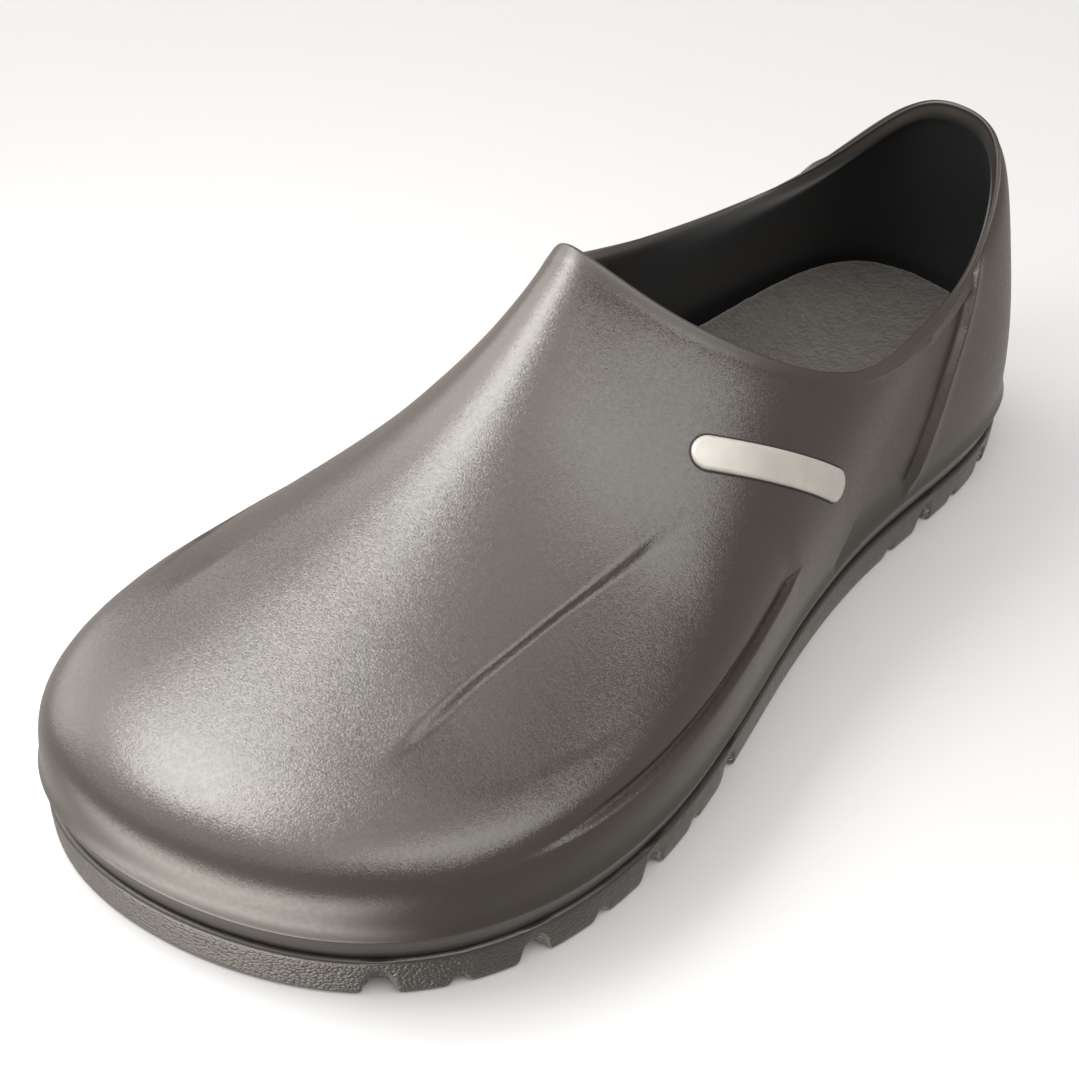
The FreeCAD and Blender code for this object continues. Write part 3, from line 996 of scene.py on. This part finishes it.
BOSS_CENTRE = place(128.5, -42.9, 33.0)
BOSS_FACING = (-0.985, 0.14, 0.1)
BOSS_PROFILE = [(3.95, -1.6), (3.9, 0.1), (3.75, 0.55), (3.35, 0.85), (2.9, 0.88), (2.5, 0.66),
                (2.1, 0.28), (1.75, 0.05), (1.6, -0.4), (1.5, -1.5)]   # radius, height
boss = lathe("vent_boss", BOSS_CENTRE, BOSS_FACING, BOSS_PROFILE)
give(boss, rubber, "upper", "shoe")

outsole = build_outsole()
give(outsole, outsole_material(), "outsole", "shoe", "outsole")

cover, core = build_footbed()
give(cover, cover_material(), "cover", None, "footbed_cover_front", "footbed_cover_heel")
give(core, foam_material(), "foam", None, "footbed_core_front", "footbed_core_heel")
for piece in (cover, core):
    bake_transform(piece)

# ---- floor, light, camera -----------------------------------------------------------
FLOOR_SIZE = 8.0
bpy.ops.mesh.primitive_plane_add(size=FLOOR_SIZE, location=(0, 0, 0))
floor = bpy.context.object
floor.name = "floor"
floor.data.materials.append(floor_material())
floor.visible_glossy = False           # the world below gives the reflections instead


def area_light(name, at, target, size, power, tint):
    """Rectangular lamp that the camera doesn't see."""
    data = bpy.data.lights.new(name, "AREA")
    data.shape = "RECTANGLE"
    data.size, data.size_y = size
    data.energy = power
    data.color = tint
    light = bpy.data.objects.new(name, data)
    light.location = at
    direction = Vector(target) - Vector(at)
    light.rotation_euler = direction.to_track_quat("-Z", "Y").to_euler()
    light.visible_camera = False
    bpy.context.scene.collection.objects.link(light)


def soft_sun(name, azimuth, elevation, strength, spread, tint):
    """Far soft box: a sun whose disc is many degrees wide."""
    data = bpy.data.lights.new(name, "SUN")
    data.energy = strength
    data.angle = math.radians(spread)
    data.color = tint
    light = bpy.data.objects.new(name, data)
    a, e = math.radians(azimuth), math.radians(elevation)
    towards = Vector((math.sin(a) * math.cos(e), -math.cos(a) * math.cos(e), math.sin(e)))
    light.rotation_euler = towards.to_track_quat("Z", "Y").to_euler()
    bpy.context.scene.collection.objects.link(light)


WARM = (1.0, 0.975, 0.94)
soft_sun("soft_box", -42, 62, 2.1, 88, WARM)
area_light("key_toe", (-0.095, -0.160, 0.245), (0.01, -0.125, 0.03), (0.19, 0.12), 0.74, WARM)
area_light("key_front", (0.36, -0.43, 0.95), (0, -0.02, 0.05), (0.34, 0.34), 0.8, WARM)
area_light("side_left", (-1.35, -0.30, 0.60), (0, -0.03, 0.04), (1.1, 0.9), 9, WARM)
area_light("side_right", (0.75, 0.02, 1.20), (0, -0.02, 0.03), (1.0, 0.9), 10, WARM)

WALL_TOWARDS = (-0.55, -0.83, 0.0)       # a pale wall stands ahead and to the left
SHINE_TOWARDS = (0.05, -1.0, 0.0)        # a bright stretch of floor lies ahead of the toe
DIM_LEVEL = 0.24                         # everywhere else
WHITE_LEVEL = 1.0                        # what the camera sees
LAMP_TINT = (1.0, 0.93, 0.86, 1.0)
WHITE = (1.0, 1.0, 1.0, 1.0)


def studio_world():
    """World with a pale wall and a bright floor to light the object, plain white to look at."""
    world = bpy.data.worlds.new("studio")
    world.use_nodes = True
    tree = world.node_tree
    link = tree.links.new
    towards = tree.nodes.new("ShaderNodeTexCoord").outputs["Generated"]
    seen = tree.nodes.new("ShaderNodeLightPath").outputs["Is Camera Ray"]

    def facing(direction):
        node = tree.nodes.new("ShaderNodeVectorMath")
        node.operation = "DOT_PRODUCT"
        node.inputs[1].default_value = direction
        link(towards, node.inputs[0])
        return node.outputs["Value"]

    def fade(source, low, high, to_low, to_high):
        node = tree.nodes.new("ShaderNodeMapRange")
        link(source, node.inputs["Value"])
        for key, value in (("From Min", low), ("From Max", high), ("To Min", to_low),
                           ("To Max", to_high)):
            if isinstance(value, float):
                node.inputs[key].default_value = value
            else:
                link(value, node.inputs[key])
        return node.outputs["Result"]

    def multiply_add(a, b, more):
        node = tree.nodes.new("ShaderNodeMath")
        node.operation = "MULTIPLY_ADD"
        link(a, node.inputs[0])
        link(b, node.inputs[1])
        if isinstance(more, float):
            node.inputs[2].default_value = more
        else:
            link(more, node.inputs[2])
        return node.outputs[0]

    split = tree.nodes.new("ShaderNodeSeparateXYZ")
    link(towards, split.inputs[0])
    height = split.outputs["Z"]
    wall = multiply_add(fade(height, 0.25, 0.70, 0.80, 0.0),
                        fade(facing(WALL_TOWARDS), -0.10, 0.70, 0.45, 1.0), DIM_LEVEL)
    light = multiply_add(fade(height, -0.58, -0.17, 6.4, 0.0),
                         fade(facing(SHINE_TOWARDS), 0.54, 0.78, 0.0, 1.0), wall)
    tint = tree.nodes.new("ShaderNodeMix")
    tint.data_type = "RGBA"
    tint.inputs["A"].default_value = LAMP_TINT
    tint.inputs["B"].default_value = WHITE
    link(seen, tint.inputs["Factor"])
    background = tree.nodes["Background"]
    link(tint.outputs["Result"], background.inputs["Color"])
    link(fade(seen, 0.0, 1.0, light, WHITE_LEVEL), background.inputs["Strength"])
    return world


bpy.context.scene.world = studio_world()
bpy.context.scene.view_settings.view_transform = "Standard"

# The camera stands ahead of the toe on the outer side and looks down over the vamp.
EYE = Vector((0.2001, -0.2551, 0.2869))
AZIMUTH, ELEVATION, ROLL = 0.920, 0.682, -0.069
AIM_RIGHT, AIM_UP = 0.147, -0.006       # turned a little so that the heel shows too
FOCAL_MM = 58.0

camera_data = bpy.data.cameras.new("camera")
camera_data.lens = FOCAL_MM
camera_data.sensor_width = 36.0
camera_data.clip_start = 0.01
camera = bpy.data.objects.new("camera", camera_data)
back = Vector((math.sin(AZIMUTH) * math.cos(ELEVATION), -math.cos(AZIMUTH) * math.cos(ELEVATION),
               math.sin(ELEVATION)))
right = Vector((math.cos(AZIMUTH), math.sin(AZIMUTH), 0))
up = back.cross(right)
turned_right = right * math.cos(ROLL) + up * math.sin(ROLL)
turned_up = up * math.cos(ROLL) - right * math.sin(ROLL)
away = (back - turned_right * AIM_RIGHT - turned_up * AIM_UP).normalized()
side = turned_up.cross(away).normalized()
camera.matrix_world = Matrix((side, away.cross(side), away)).transposed().to_4x4()
camera.location = EYE
bpy.context.scene.collection.objects.link(camera)
bpy.context.scene.camera = camera
